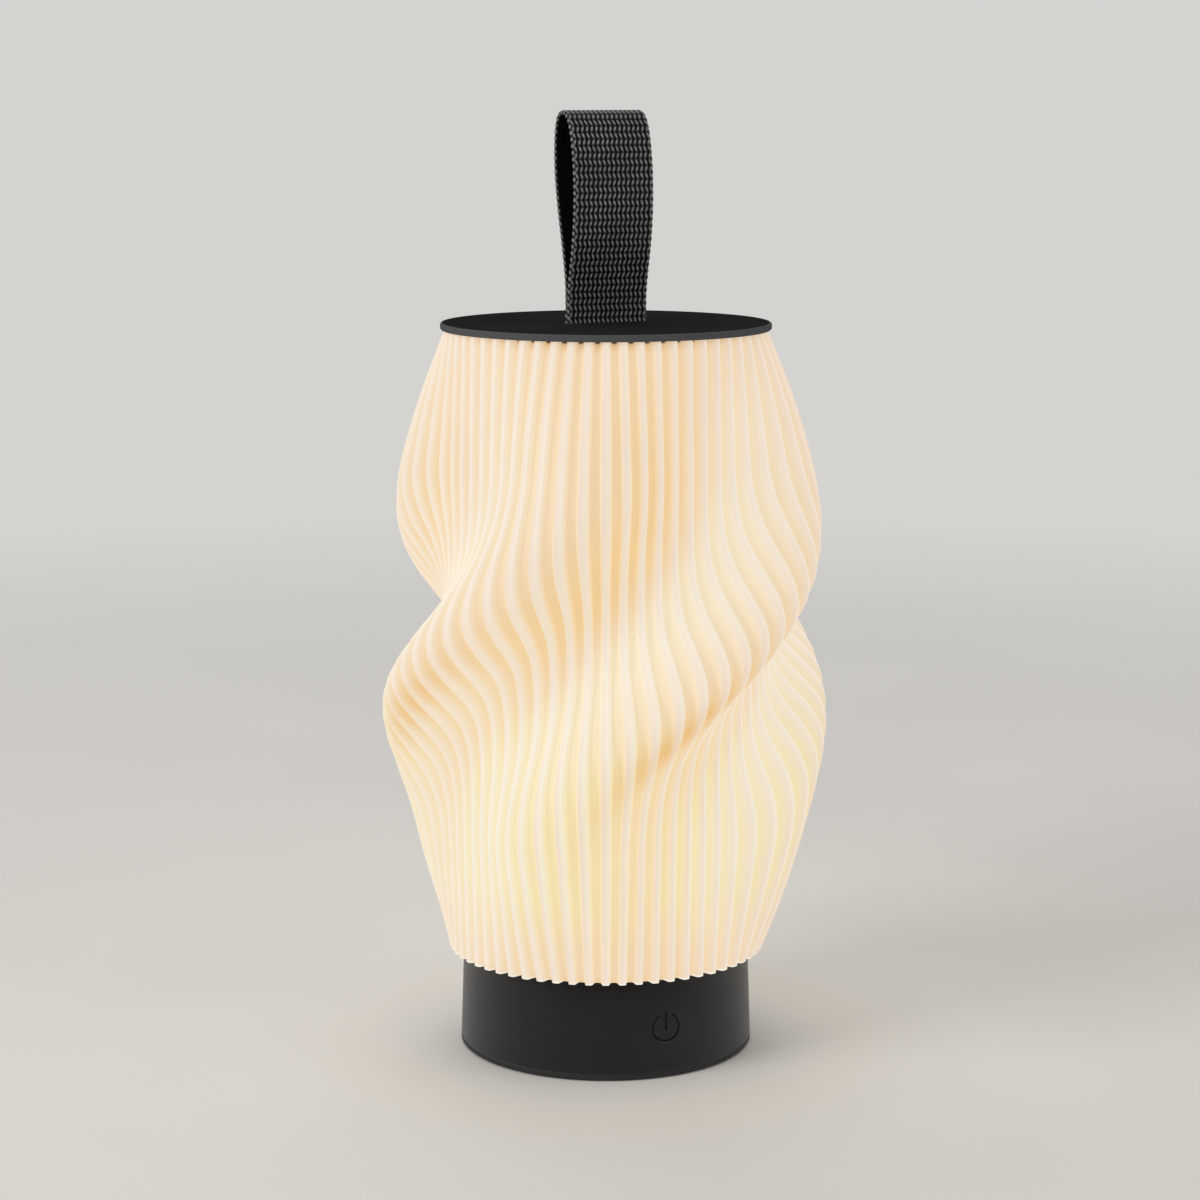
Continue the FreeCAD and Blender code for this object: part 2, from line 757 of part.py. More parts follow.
def make_bottom_cover():
    body = new_body("bottom_cover")
    plate = [
        (None, "foot_stand"),
        ("foot_groove_bore", "foot_stand"),
        ("foot_groove_bore", "foot_groove_top"),
        ("foot_groove_radius", "foot_groove_top"),
        ("foot_groove_radius", "foot_stand"),
        ("base_break_radius", "foot_stand"),
        ("base_radius", "cover_low_break"),
        ("base_radius", "cover_high_break"),
        ("base_break_radius", "base_bottom"),
        ("cover_radius", "base_bottom"),
        ("cover_radius", "cover_top"),
        (None, "cover_top"),
    ]
    revolve(body, "plate", plate)
    spot = (cell("boss_spot"), cell("boss_spot"), cell("foot_stand"))
    seat = round_feature(body, "head_seat", "Pocket", "head_hole_radius", "head_hole_depth", spot, True)
    repeat(body, "head_seats", seat, BOSSES)
    hole = round_feature(body, "cover_hole", "Pocket", "hole_radius", "overrun", spot, True)
    repeat(body, "cover_holes", hole, BOSSES)
    node(body, "bottom_cover")


def make_ring(name, bore, radius, bottom, top):
    body = new_body(name)
    revolve(body, name + "_ring", [(bore, bottom), (radius, bottom), (radius, top), (bore, top)])
    return node(body, name)


def make_seals():
    make_ring("cover_gasket", "gasket_bore", "gasket_radius", "base_bottom", "rebate_top")
    make_ring("foot_ring", "foot_bore", "foot_radius", None, "foot_groove_top")
    spots = around("boss_circle", BOSSES, 45)
    screws("cover_screws", spots, cell("cover_screw_seat"), "cover_screw_length", True)


# Battery and electronics


def make_battery():
    can = cylinder("cell_can", "cell_radius", "cell_length")
    button = cylinder("cell_button", "cell_button_radius", "cell_button_height")
    put(button, z=cell("cell_length"))
    battery = fuse("battery_cell", [can, button])
    battery.Placement.Rotation = LAID_ALONG_X
    forward = f"-{cell('cell_set_forward')}"
    put(battery, f"-{cell('cell_length')} / 2", forward, cell("cell_centre"))
    node(battery, "battery_cell")

    floor = cell("cover_top")
    parts = [block("cradle_plate", "cradle_length", "cradle_width", "cradle_floor", "0", forward, floor)]
    for side, name in ((-1, "left"), (1, "right")):
        across = f"{side} * {cell('saddle_side')}"
        size_names = ("saddle_thickness", "cradle_width", "saddle_height")
        parts.append(block(f"{name}_saddle", *size_names, across, forward, cell("cell_rest")))
    bore = cylinder("cradle_bore_bar", "cradle_bore", "cell_length")
    bore.Placement.Rotation = LAID_ALONG_X
    put(bore, f"-{cell('cell_length')} / 2", forward, cell("cell_centre"))
    node(cut("battery_cradle", fuse("cradle_blank", parts), bore), "battery_cradle")


def make_main_board():
    body = new_body("main_board")
    sketch = new_sketch(body, "board_outline", "XY_Plane", None, cell("board_middle"), cell("board_bottom"))
    rectangle(sketch, "board_width", "board_depth")
    extrude(body, "board_plate", "Pad", sketch, "board_thickness")
    level = cell("board_bottom")
    sketch = new_sketch(body, "tongue_outline", "XY_Plane", None, cell("tongue_middle"), level)
    rectangle(sketch, "tongue_width", "tongue_length")
    extrude(body, "board_tongue", "Pad", sketch, "board_thickness")
    spots = []
    for side, name in ((-1, "left"), (1, "right")):
        across = f"{side} * {cell('post_side')}"
        spot = (across, cell("post_back"), cell("board_top"))
        round_feature(body, f"{name}_board_hole", "Pocket", "hole_radius", "board_thickness", spot)
        spots.append((across, cell("post_back")))
    node(body, "main_board")
    screws("board_screws", spots, cell("board_screw_seat"), "board_screw_length", True)
    top = cell("board_top")
    back = cell("chip_back")
    left = f"-{cell('parts_side')}"
    chip = block("charge_chip", "chip_width", "chip_width", "chip_height", left, back, top)
    coil = block("boost_coil", "coil_width", "coil_width", "coil_height", cell("parts_side"), back, top)
    group("board_parts", [chip, coil])


def make_charging_socket():
    level = cell("port_centre")
    start = cell("socket_start")
    shell = round_ended("socket_outside", "socket_width", "socket_height", "socket_depth", start, level)
    inside = round_ended(
        "socket_inside",
        "socket_inside_width",
        "socket_inside_height",
        "socket_depth",
        cell("socket_inside_start"),
        level,
    )
    size_names = ("socket_tongue_width", "socket_tongue_depth", "socket_tongue_height")
    place = ("0", cell("socket_tongue_middle"), cell("socket_tongue_bottom"))
    tongue = block("socket_tongue", *size_names, *place)
    node(fuse("charging_socket", [cut("socket_shell", shell, inside), tongue]), "charging_socket")


def make_touch_pad():
    body = new_body("touch_pad")
    foil = [
        ("pad_inside", "pad_bottom"),
        ("pad_outside", "pad_bottom"),
        ("pad_outside", "pad_top"),
        ("pad_inside", "pad_top"),
    ]
    revolve(body, "foil", foil, "pad_angle")
    body.Placement.Rotation = FACING_FRONT
    node(body, "touch_pad")


def make_leads():
    top = size("board_top") + size("lead_radius") + size("glue_gap")
    forward = -size("cell_set_forward")
    behind = size("cell_radius") - size("cell_set_forward")
    back = size("lead_back") + size("lead_set_back")
    ends = []
    for side, button in ((-1, 0.0), (1, size("cell_button_height"))):
        start = side * (size("cell_length") / 2 + button + size("glue_gap"))
        turn = start + side * size("lead_turn")
        finish = side * (size("board_width") / 2 - size("post_inset"))
        route = [(start, forward), (turn, forward), (turn, behind), (finish, back)]
        ends.append(lead([FreeCAD.Vector(x, y, top) for x, y in route]))
    feature("battery_leads", Part.Compound(ends))

    over = (size("cell_centre") + size("cell_radius") + size("deck_bottom")) / 2
    pad_end = size("sign_centre") + size("pad_height") / 4
    front = -size("pad_inside") + size("glue_gap")
    finish = size("post_back")
    route = [
        (front, pad_end),
        (front + size("lead_turn"), pad_end),
        (front + 3 * size("lead_turn"), over),
        (finish, over),
        (finish, size("board_top") + size("glue_gap")),
    ]
    feature("touch_lead", lead([FreeCAD.Vector(0, y, z) for y, z in route]))

    pair = []
    for side, name in ((-1, "left"), (1, "right")):
        wire = cylinder(f"{name}_light_lead", "lead_radius", "light_lead_length")
        put(wire, f"{side} * {cell('lead_spacing')} / 2", cell("lead_back"), cell("board_top"))
        pair.append(wire)
    group("light_leads", pair)


# Light source


def make_light():
    body = new_body("light_board")
    spot = (None, None, cell("base_top"))
    round_feature(body, "light_disc", "Pad", "light_board_radius", "light_board_thickness", spot)
    spot = (None, f"-{cell('light_screw_circle')}", cell("light_board_top"))
    hole = round_feature(body, "light_board_hole", "Pocket", "hole_radius", "light_board_thickness", spot)
    repeat(body, "light_board_holes", hole, LIGHT_SCREWS)
    spot = (None, cell("lead_back"), cell("light_board_top"))
    round_feature(body, "light_lead_hole", "Pocket", "lead_hole_radius", "light_board_thickness", spot)
    node(body, "light_board")
    seat = cell("light_screw_seat")
    spots = around("light_screw_circle", LIGHT_SCREWS, 270)
    screws("light_board_screws", spots, seat, "light_screw_length", False)
    chips = []
    size_names = ("chip_light_length", "chip_light_width", "chip_light_height")
    for index, (x, y) in enumerate(around("chip_light_circle", LIGHT_CHIPS, 180 / LIGHT_CHIPS)):
        chips.append(block(f"light_chip_{index}", *size_names, x, y, cell("light_board_top")))
    group("light_chips", chips)


def dome(name, radius, ball):
    """A round column that starts at the base's top and ends in part of a ball."""
    column = cylinder(name + "_column", radius, "diffuser_height")
    put(column, z=cell("base_top"))
    crown = doc.addObject("Part::Sphere", name + "_crown")
    bind(crown, Radius=ball)
    put(crown, z=cell("dome_centre"))
    item = doc.addObject("Part::Common", name)
    item.Base = column
    item.Tool = crown
    return item


def make_diffuser():
    outside = dome("diffuser_outside", "diffuser_radius", "dome_radius")
    inside = dome("diffuser_inside", "diffuser_bore", "dome_bore")
    node(cut("light_diffuser", outside, inside), "light_diffuser")


# Rings in the shade, lid and strap


def make_shade_rings():
    collar = make_ring("shade_collar", "collar_bore", "collar_radius", "base_top", "collar_top")
    spot = (cell("collar_screw_circle"), None, cell("collar_top"))
    bore = round_feature(collar, "collar_bore_hole", "Pocket", "thread_radius", "collar_height", spot)
    repeat(collar, "collar_bore_holes", bore, BOSSES)
    places = around("collar_screw_circle", BOSSES, 0)
    screws("collar_screws", places, cell("collar_screw_seat"), "collar_screw_length", True)

    ring = new_body("shade_top_ring")
    section = [
        ("flange_bore", "ring_bottom"),
        ("collar_radius", "ring_bottom"),
        ("collar_radius", "shade_top"),
        ("ring_bore", "shade_top"),
        ("ring_bore", "flange_top"),
        ("flange_bore", "flange_top"),
    ]
    revolve(ring, "top_ring", section)
    spot = (cell("lid_screw_circle"), None, cell("flange_top"))
    hole = round_feature(ring, "flange_hole", "Pocket", "hole_radius", "ring_flange", spot)
    repeat(ring, "flange_holes", hole, BOSSES)
    node(ring, "shade_top_ring")
    places = around("lid_screw_circle", BOSSES, 0)
    screws("lid_screws", places, cell("lid_screw_seat"), "lid_screw_length", True)


def make_lid():
    body = new_body("lid")
    disc = [
        (None, "shade_top"),
        ("lid_break_radius", "shade_top"),
        ("lid_radius", "lid_low_break"),
        ("lid_radius", "lid_high_break"),
        ("lid_break_radius", "lid_top"),
        (None, "lid_top"),
    ]
    revolve(body, "disc", disc)
    spot = (cell("lid_screw_circle"), None, cell("flange_top"))
    boss = round_feature(body, "lid_boss", "Pad", "lid_boss_radius", "lid_boss_length", spot)
    repeat(body, "lid_bosses", boss, BOSSES)
    bore = round_feature(body, "lid_bore", "Pocket", "thread_radius", "lid_thread_depth", spot, True)
    repeat(body, "lid_bores", bore, BOSSES)
    spot = (cell("clamp_screw_spot"), None, cell("tail_bottom"))
    boss = round_feature(body, "clamp_boss", "Pad", "lid_boss_radius", "strap_thickness", spot)
    repeat(body, "clamp_bosses", boss, 2)
    bore = round_feature(body, "clamp_bore", "Pocket", "thread_radius", "clamp_thread_depth", spot, True)
    repeat(body, "clamp_bores", bore, 2)
    sketch = new_sketch(body, "slot_outline", "XY_Plane", None, None, cell("lid_top"))
    rectangle(sketch, "slot_length", "slot_width")
    extrude(body, "strap_slot", "Pocket", sketch, "slot_depth")
    node(body, "lid")


def make_strap():
    bottom = cell("tail_bottom")
    stem = block("strap_stem", "strap_width", "strap_pair", "tail_stem", "0", "0", bottom)
    tails = block("strap_tails", "strap_width", "tails_span", "strap_thickness", "0", "0", bottom)
    node(fuse("strap_ends", [stem, tails]), "strap_ends")

    body = new_body("strap_clamp")
    sketch = new_sketch(body, "clamp_outline", "XY_Plane", None, None, cell("clamp_bottom"))
    rectangle(sketch, "clamp_length", "tails_span")
    extrude(body, "clamp_plate", "Pad", sketch, "clamp_thickness")
    spot = (cell("clamp_screw_spot"), None, cell("tail_bottom"))
    hole = round_feature(body, "clamp_hole", "Pocket", "hole_radius", "clamp_thickness", spot)
    repeat(body, "clamp_holes", hole, 2)
    node(body, "strap_clamp")
    places = around("clamp_screw_spot", 2, 0)
    screws("clamp_screws", places, cell("clamp_screw_seat"), "clamp_screw_length", True)

    hinge = size("strap_hinge")
    reach = size("strap_reach")
    half = (size("strap_thickness") + size("strap_root_split")) / 2
    points = [(-half, 0.0)]
    points += [(-half - size("strap_front_bow") * bow, reach * up) for bow, up in STRAP_FRONT_SHARES]
    points += [(half + size("strap_back_bow") * bow, reach * up) for bow, up in STRAP_BACK_SHARES]
    points.append((half, 0.0))
    route = rounded_route([FreeCAD.Vector(0, y, hinge + z) for y, z in points])
    across = size("strap_width") / 2
    thick = size("strap_thickness") / 2
    corners = [(-across, -thick), (across, -thick), (across, thick), (-across, thick), (-across, -thick)]
    section = Part.makePolygon([FreeCAD.Vector(x, y - half, hinge) for x, y in corners])
    band = route.makePipeShell([section], True, False)
    expected = size("strap_width") * size("strap_thickness") * route.Length
    if abs(band.Volume / expected - 1) > 0.01:
        raise ValueError("the strap's volume is not its section times its length")
    root = Part.makeCylinder(
        size("strap_root_radius"), size("strap_width"), FreeCAD.Vector(-across, 0, hinge), ACROSS
    )
    feature("strap_loop", band.fuse(root).removeSplitter())


def check_and_write():
    doc.recompute()
    for item in doc.Objects:
        if "Invalid" in item.State or "Error" in item.State:
            raise ValueError(f"{item.Name} failed: {item.State}")
    for item in nodes:
        if item.Shape.isNull() or not item.Shape.isValid() or not item.Shape.Solids:
            raise ValueError(f"{item.Label} has no valid solid")
    os.makedirs("parts", exist_ok=True)
    for item in nodes:
        item.Shape.exportStep(os.path.join("parts", item.Label + ".step"))
        print(item.Label, len(item.Shape.Solids), round(item.Shape.Volume, 1))


fill_sheet()
make_base_housing()
make_port_cover()
make_bottom_cover()
make_seals()
make_battery()
make_main_board()
make_charging_socket()
make_touch_pad()
make_leads()
make_light()
make_diffuser()
make_shade()
make_shade_rings()
make_lid()
make_strap()
check_and_write()
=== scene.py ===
import math

import bpy
import numpy as np
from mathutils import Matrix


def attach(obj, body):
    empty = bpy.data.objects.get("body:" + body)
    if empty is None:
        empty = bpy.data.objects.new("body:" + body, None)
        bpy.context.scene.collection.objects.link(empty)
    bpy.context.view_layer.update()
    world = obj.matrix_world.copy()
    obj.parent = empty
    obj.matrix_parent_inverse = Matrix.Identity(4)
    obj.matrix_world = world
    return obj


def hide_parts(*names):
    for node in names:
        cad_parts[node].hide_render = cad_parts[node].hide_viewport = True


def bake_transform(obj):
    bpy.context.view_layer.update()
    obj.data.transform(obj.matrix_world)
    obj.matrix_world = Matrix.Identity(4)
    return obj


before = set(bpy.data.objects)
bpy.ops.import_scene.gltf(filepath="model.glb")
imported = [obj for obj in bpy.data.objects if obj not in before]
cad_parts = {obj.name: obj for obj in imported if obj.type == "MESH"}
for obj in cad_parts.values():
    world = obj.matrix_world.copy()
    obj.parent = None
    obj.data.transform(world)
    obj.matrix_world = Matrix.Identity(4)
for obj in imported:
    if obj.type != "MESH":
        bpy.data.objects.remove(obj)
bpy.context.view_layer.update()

MM = 0.001

# Shade, in millimetres and degrees, as in the solids.
SHADE_BOTTOM = 30.0
SHADE_HEIGHT = 186.3
SHADE_RADIUS = 47.5
SHADE_BARREL = 1.3
SHADE_WALL = 1.3
RIB_DEPTH = 2.9
RIBS = 60
LOBES = 4
LOBE_HEIGHT = 19.5
LOBE_PEAK = 0.5164
LOBE_SHARPNESS = 1.61
LOBE_LEAN = 0.374
TWIST_SPAN = 114.5
TWIST_TURN = 97.0
TWIST_PHASE = 8.6

# The shade's mesh: places across half a rib pitch that have points, where a rib's flank begins and ends
# there, how far its tip is crowned, the rows of points up the wall, and the rounding of the lower edge.
RIB_STEPS = [0.0, 0.08, 0.15, 0.19, 0.22, 0.255, 0.29, 0.325, 0.40]
FLANK_START = 0.165
FLANK_END = 0.335
TIP_CROWN = 0.035
SHADE_ROWS = 112
INSIDE_ROWS = 24
EDGE_ROUND = 0.35
EDGE_STEP_UP = 0.1
EDGE_STEP_IN = 0.12

# Painted shade in a warm line beside the crests, low on the lobes: its middle and width round the lobe, and
# up the shade.
CREASE_PHASE = 0.42
CREASE_WIDTH = 0.33
CREASE_SHARE = 0.41
CREASE_SPREAD = 0.10

# What the studio's light adds to the shade's own, in linear red, green and blue.
ROOM_LIGHT = (0.19, 0.15, 0.115)
# The shade's glow, in colours as they look on a screen. First, both sides of a rib's tip, the left in painted
# shade and the right painted lit, and the groove.
TIP_LEFT_SHADED = (243, 220, 197)
TIP_RIGHT_LIT = (247, 230, 209)
GROOVE = (243, 216, 182)
# The same near the light inside.
NEAR_TIP_RIGHT_LIT = (248, 237, 210)
NEAR_GROOVE = (245, 227, 181)
# Painted light on the bright left flank of a lobe, painted shade on its warm right flank, and painted shade
# in the warm line beside the crest.
BRIGHT_TIP = (247, 236, 215)
BRIGHT_GROOVE = (247, 234, 205)
SHADED_FLANK_TIP = (245, 225, 199)
SHADED_FLANK_GROOVE_LOW = (244, 217, 180)
SHADED_FLANK_GROOVE_HIGH = (243, 208, 159)
CREASE_SHADE = (236, 186, 120)
# At the lower edge: painted shade in the grooves and a painted highlight on the tips. Close under the lid:
# painted shade in the grooves and a painted shadow in the gaps.
FOOT_GROOVE_SHADE = (242, 196, 138)
FOOT_TIP_HIGHLIGHT = (253, 244, 230)
HEAD_GROOVE_SHADE = (226, 178, 128)
HEAD_GAP_SHADOW = (60, 50, 40)
# Heights in millimetres above the table over which the glow changes.
NEAR_RISE = (34.0, 60.0)
NEAR_FALL = (125.0, 85.0)
SHADED_FLANK_RISE = (108.0, 142.0)
# The same from the shade's lower end, and from its upper end.
FOOT_GROOVE_SHADE_BAND = (2.2, 0.0)
FOOT_TIP_HIGHLIGHT_BAND = (0.9, 0.3)
HEAD_GROOVE_SHADE_BAND = (-3.5, -0.6)
HEAD_GAP_SHADOW_BAND = (-1.0, -0.5)
# Where on a rib or a lobe each colour sets in and is full, and its share there.
SIDE_SPAN = (-0.9, 0.9)
GROOVE_SPAN = (0.12, 0.72)
VALLEY_POWER = 1.9
HEAD_GAP_SHADOW_SPAN = (0.45, 0.8)
BRIGHT_SPAN = (0.0, -0.9)
BRIGHT_SHARE = 0.65
SHADED_FLANK_SPAN = (0.0, 0.85)
SHADED_FLANK_SHARE = 0.9
CREASE_TIP_SHARE = 0.35
CREASE_GROOVE_SHARE = 0.7
FOOT_SHADE_SHARE = 0.6
HEAD_SHADE_SHARE = 0.75
# The colour of the plastic itself, and how far clouds in it dim the glow, in linear light.
TIP_BODY = (0.25, 0.24, 0.22)
GROOVE_BODY = (0.25, 0.22, 0.16)
CLOUD = (0.965, 0.96, 0.955)
CLEAR = (1.0, 1.0, 1.0)

# Lid, in millimetres as in the solids, and the band inside its radius over which the painted highlight on the
# rim sets in.
LID_RADIUS = 48.5
LID_DARK = (39, 39, 40)
LID_LIGHT = (44, 44, 45)
LID_RIM_HIGHLIGHT = (90, 90, 92)
LID_RIM_HIGHLIGHT_BAND = (-0.6, -0.3)

# Webbing, in millimetres, as in the solids. Above the hinge it bends over a short stretch.
STRAP_HINGE = 220.05
STRAP_REACH = 59.55
STRAP_WIDTH = 25.0
STRAP_HALF_SPLIT = 0.75
STRAP_FRONT_BOW = 4.5
STRAP_BACK_BOW = 8.05
STRAP_FRONT_SHARES = [(0.0, 0.13), (1.05, 0.44), (1.05, 0.74), (0.15, 0.985)]
STRAP_BACK_SHARES = [(0.75, 1.0), (1.05, 0.86), (0.95, 0.62), (0.0, 0.20)]
TAIL_LEVEL = 215.6
TAIL_END = 12.4
TAIL_TURN = 1.4
TAIL_RISE = 1.5
LINE_STEPS = 40

# Weave: columns across the webbing, a row's length, points in each, and the yarns' thickness and relief.
WEAVE_COLUMNS = 17
WEAVE_ROW = 1.94
WEAVE_STEPS = 6
WEAVE_HALF = 0.54
WEAVE_RELIEF = 0.19
# Shares of a column: a yarn's slant and width, how deep it dips between rows, and how much of its painted
# sheen stays inside the loop, which is painted in shade.
WEAVE_SLANT = 0.22
YARN_WIDTH = 0.33
YARN_DIP = 0.6
INSIDE_SHEEN_SHARE = 0.42
# Edges of the webbing: width and thickness share of the hem, its wave, and the painted highlights, beads of
# light, along it.
HEM_WIDTH = 0.6
HEM_THICKNESS = 0.6
HEM_WAVE = 0.13
HEM_OUTER = 0.05
HEM_FULL = 0.3
HEM_GONE = 0.8
BEAD_HIGHLIGHT_LEVEL = 0.62
BEAD_HIGHLIGHT_SWING = 0.3
# The raised yarns' painted sheen, darker and lighter along the fibres and in duller patches, and the painted
# shade in the gaps.
YARN_SHEEN_DARK = (114, 115, 117)
YARN_SHEEN_LIGHT = (182, 183, 185)
YARN_SHEEN_DULL = (108, 109, 111)
YARN_GAP_SHADE = (6, 6, 6)
YARN_SPAN = (0.40, 0.88)
DULL_SHARE = 0.45

# Base: its tones, shine and sheen.
BASE_DARK = (26, 26, 28)
BASE_LIGHT = (31, 31, 33)
BASE_SHINE = 0.06
BASE_SHEEN = 0.33
BASE_SHEEN_SPREAD = 0.57
# Its wall in millimetres, as in the solids: the heights where its taper begins and ends, and the radii there.
WALL_LOW = 2.15
WALL_HIGH = 31.0
WALL_LOW_RADIUS = 44.1
WALL_HIGH_RADIUS = 43.1
# Painted shadow close under the shade: the heights over which it sets in, how much of it, and how late.
PAINTED_SHADOW = (4, 4, 4)
PAINTED_SHADOW_BAND = (0.0, 29.5)
PAINTED_SHADOW_SHARE = 0.96
PAINTED_SHADOW_POWER = 3.2
# Power sign, painted darker as shade in its grooves: the depths in the wall, and the places from the rear to
# the front, over which that painted shade sets in.
SIGN_SHADE = (9, 9, 10)
SIGN_DEPTHS = (0.1, 0.3)
SIGN_FRONT = (-40.0, -40.5)

# Values of a noise between which most of it lies.
NOISE_LOW = 0.3
NOISE_HIGH = 0.7

# Camera, from the photograph's perspective: place in metres, angles in degrees, lens in millimetres.
CAMERA_PLACE = (-0.3624, -0.8140, 0.2866)
CAMERA_DOWN = 9.64
CAMERA_HEADING = 23.886
CAMERA_LENS = 90.69
CAMERA_SENSOR = 36.0
CAMERA_NEAREST = 0.01

# Lights: place in metres, power in watts, size in metres. All aim at one height above the floor.
LIGHTS = {
    "key": ((-1.07, -0.2, 0.7), 5.0, 0.6),
    "fill": ((0.85, -0.75, 0.6), 1.6, 0.8),
    "top": ((0.1, 0.5, 1.1), 2.2, 0.7),
}
LIGHT_TINT = (1.0, 0.98, 0.95)
LIGHT_AIM = 0.14
# Light from all round, and the background as it is seen.
AROUND_TINT = (1.0, 0.985, 0.96)
AROUND_STRENGTH = 0.42
BACKGROUND = (0.66, 0.65, 0.63)
BACKGROUND_STRENGTH = 1.0

# Floor, in metres: its radius, and the distances from the lamp over which it fades out.
FLOOR_REACH = 1.6
FLOOR_SIDES = 96
FLOOR_FADE = (0.35, 1.2)
FLOOR_DARK = (0.84, 0.83, 0.81)
FLOOR_LIGHT = (0.88, 0.87, 0.85)


# Materials


class Look:
    """A Principled material with helpers to add nodes."""

    def __init__(self, name):
        self.material = bpy.data.materials.new(name)
        self.material.use_nodes = True
        self.tree = self.material.node_tree
        self.surface = self.tree.nodes["Principled BSDF"]

    def add(self, kind, **inputs):
        node = self.tree.nodes.new("ShaderNode" + kind)
        for name, value in inputs.items():
            node.inputs[name.replace("_", " ")].default_value = value
        return node

    def link(self, output, target):
        self.tree.links.new(output, target)

    def set(self, **inputs):
        for name, value in inputs.items():
            self.surface.inputs[name.replace("_", " ")].default_value = value

    def drive(self, name, output):
        self.link(output, self.surface.inputs[name])

    def driver(self, name):
        return self.surface.inputs[name].links[0].from_socket

    def place(self):
        return self.add("TexCoord").outputs["Object"]

    def axes(self):
        node = self.add("SeparateXYZ")
        self.link(self.place(), node.inputs["Vector"])
        return node.outputs["X"], node.outputs["Y"], node.outputs["Z"]

    def length(self, across, along):
        squares = self.math("ADD", self.math("POWER", across, 2.0), self.math("POWER", along, 2.0))
        return self.math("SQRT", squares, 0.0)

    def attribute(self, name):
        node = self.add("Attribute")
        node.attribute_name = name
        return node.outputs["Fac"]

    def noise(self, scale, detail):
        node = self.add("TexNoise", Scale=scale, Detail=detail)
        self.link(self.place(), node.inputs["Vector"])
        return node.outputs["Fac"]

    def math(self, operation, first, second):
        node = self.add("Math")
        node.operation = operation
        for socket, value in zip(node.inputs, (first, second)):
            if isinstance(value, (int, float)):
                socket.default_value = value
            else:
                self.link(value, socket)
        return node.outputs["Value"]

    def spread(self, value, low, high, new_low=0.0, new_high=1.0, smooth=False):
        node = self.add("MapRange")
        node.interpolation_type = "SMOOTHSTEP" if smooth else "LINEAR"
        self.link(value, node.inputs["Value"])
        names = ("From Min", "From Max", "To Min", "To Max")
        for name, number in zip(names, (low, high, new_low, new_high)):
            node.inputs[name].default_value = number
        return node.outputs["Result"]

    def band(self, value, span, start=0.0, share=1.0, smooth=False):
        """A share that sets in over a span of lengths, in millimetres from the start."""
        low, high = ((start + length) * MM for length in span)
        return self.spread(value, low, high, 0.0, share, smooth)

    def ramp(self, value, stops):
        node = self.add("ValToRGB")
        elements = node.color_ramp.elements
        while len(elements) < len(stops):
            elements.new(0.5)
        for element, (place, colour) in zip(elements, stops):
            element.position = place
            element.color = (*colour, 1.0)
        self.link(value, node.inputs["Fac"])
        return node.outputs["Color"]

    def mottle(self, noise, first, second):
        return self.ramp(noise, [(NOISE_LOW, first), (NOISE_HIGH, second)])

    def mix(self, share, first, second, blend="MIX"):
        node = self.add("Mix")
        node.data_type = "RGBA"
        node.blend_type = blend
        if isinstance(share, (int, float)):
            node.inputs["Factor"].default_value = share
        else:
            self.link(share, node.inputs["Factor"])
        sockets = [s for s in node.inputs if s.type == "RGBA"]
        for socket, value in zip(sockets, (first, second)):
            if isinstance(value, tuple):
                socket.default_value = (*value, 1.0)
            else:
                self.link(value, socket)
        return next(s for s in node.outputs if s.type == "RGBA")

    def bump(self, height, strength, distance):
        node = self.add("Bump", Strength=strength, Distance=distance)
        self.link(height, node.inputs["Height"])
        self.drive("Normal", node.outputs["Normal"])


def shown(value):
    """Linear light from a colour as it looks on a screen, 0 to 255, by the sRGB curve."""
    return tuple((v / 255 / 12.92) if v < 10.3 else ((v / 255 + 0.055) / 1.055) ** 2.4 for v in value)


def grained(name, dark, light, rough, shine, scale=900.0, bump=0.12):
    """Moulded plastic or rubber: a fine grain, and patches that are a little duller or lighter."""
    look = Look(name)
    patches = look.noise(scale=35.0, detail=4.0)
    grain = look.noise(scale=scale, detail=2.0)
    look.drive("Base Color", look.mottle(patches, shown(dark), shown(light)))
    look.drive("Roughness", look.spread(grain, NOISE_LOW, NOISE_HIGH, rough - 0.06, rough + 0.06))
    look.set(Specular_IOR_Level=shine)
    look.bump(grain, strength=bump, distance=0.1 * MM)
    return look


def brushed(name, dark, light, rough):
    """Bare metal with fine streaks."""
    look = Look(name)
    streaks = look.noise(scale=1500.0, detail=2.0)
    look.drive("Base Color", look.mottle(streaks, shown(dark), shown(light)))
    look.drive("Roughness", look.spread(streaks, NOISE_LOW, NOISE_HIGH, rough, rough + 0.12))
    look.set(Metallic=1.0)
    look.bump(streaks, strength=0.08, distance=0.05 * MM)
    return look


def base_look():
    """The base's satin black, with a painted shadow close under the shade, and painted shade where the power
    sign is cut in.
    """
    look = grained("base_black", BASE_DARK, BASE_LIGHT, rough=0.5, shine=BASE_SHINE)
    across, along, height = look.axes()
    # Painted shadow of the shade over the top of the base wall, all round.
    painted_shadow = look.math("POWER", look.band(height, PAINTED_SHADOW_BAND, share=PAINTED_SHADOW_SHARE), PAINTED_SHADOW_POWER)
    plain = look.mix(painted_shadow, look.driver("Base Color"), shown(PAINTED_SHADOW))
    wall = look.spread(height, WALL_LOW * MM, WALL_HIGH * MM, WALL_LOW_RADIUS * MM, WALL_HIGH_RADIUS * MM)
    # Painted shade in the grooves of the power sign, where the wall is cut in at the front.
    sunk = look.band(look.math("SUBTRACT", wall, look.length(across, along)), SIGN_DEPTHS)
    front = look.band(along, SIGN_FRONT)
    look.drive("Base Color", look.mix(look.math("MULTIPLY", sunk, front), plain, shown(SIGN_SHADE)))
    look.set(Sheen_Weight=BASE_SHEEN, Sheen_Roughness=BASE_SHEEN_SPREAD)
    return look


